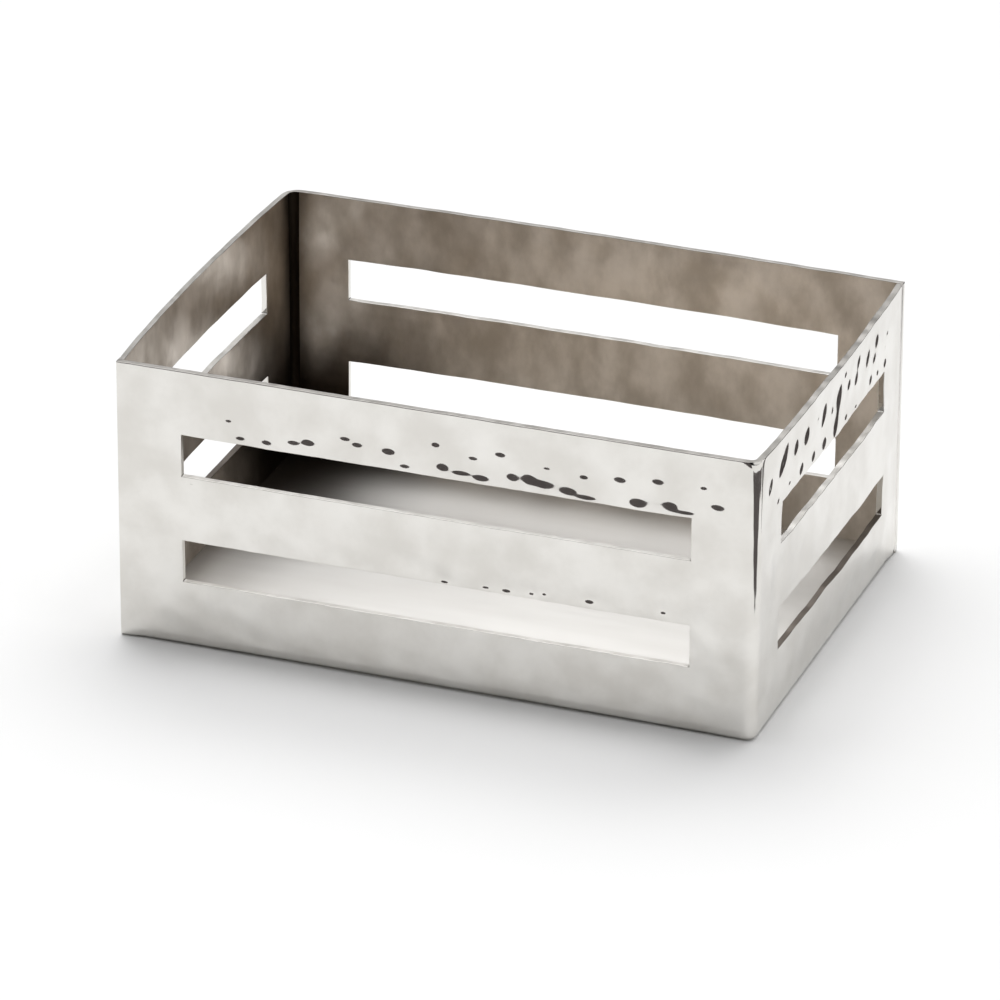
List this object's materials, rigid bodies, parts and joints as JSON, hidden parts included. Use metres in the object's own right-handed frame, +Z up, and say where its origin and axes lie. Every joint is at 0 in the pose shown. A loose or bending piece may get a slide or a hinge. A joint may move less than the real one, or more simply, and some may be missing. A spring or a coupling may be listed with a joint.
{
  "type": "sugar packet holder",
  "caption": "Small open-topped rectangular box of hammered stainless sheet, with long horizontal slots in all its walls, that holds sugar packets on a table.",
  "frame": {"origin": "middle of the underside, on the surface that the box stands on", "axes": "+X to the right, along the long walls; -Y is the front, a long wall; +Z is up"},
  "size_m": [0.1016, 0.0698, 0.0458],
  "materials": {
    "hammered_steel": "polished stainless sheet with shallow hammer marks",
    "floor_steel": "polished stainless sheet, plain",
    "weld_steel": "weld metal, dressed flush and polished"
  },
  "bodies": {
    "root": {"front_right_wall": "hammered_steel", "rear_left_wall": "hammered_steel", "floor_plate": "floor_steel", "front_left_corner_weld": "weld_steel", "rear_right_corner_weld": "weld_steel", "front_floor_weld": "weld_steel", "right_floor_weld": "weld_steel", "rear_floor_weld": "weld_steel", "left_floor_weld": "weld_steel"}
  },
  "joints": []
}
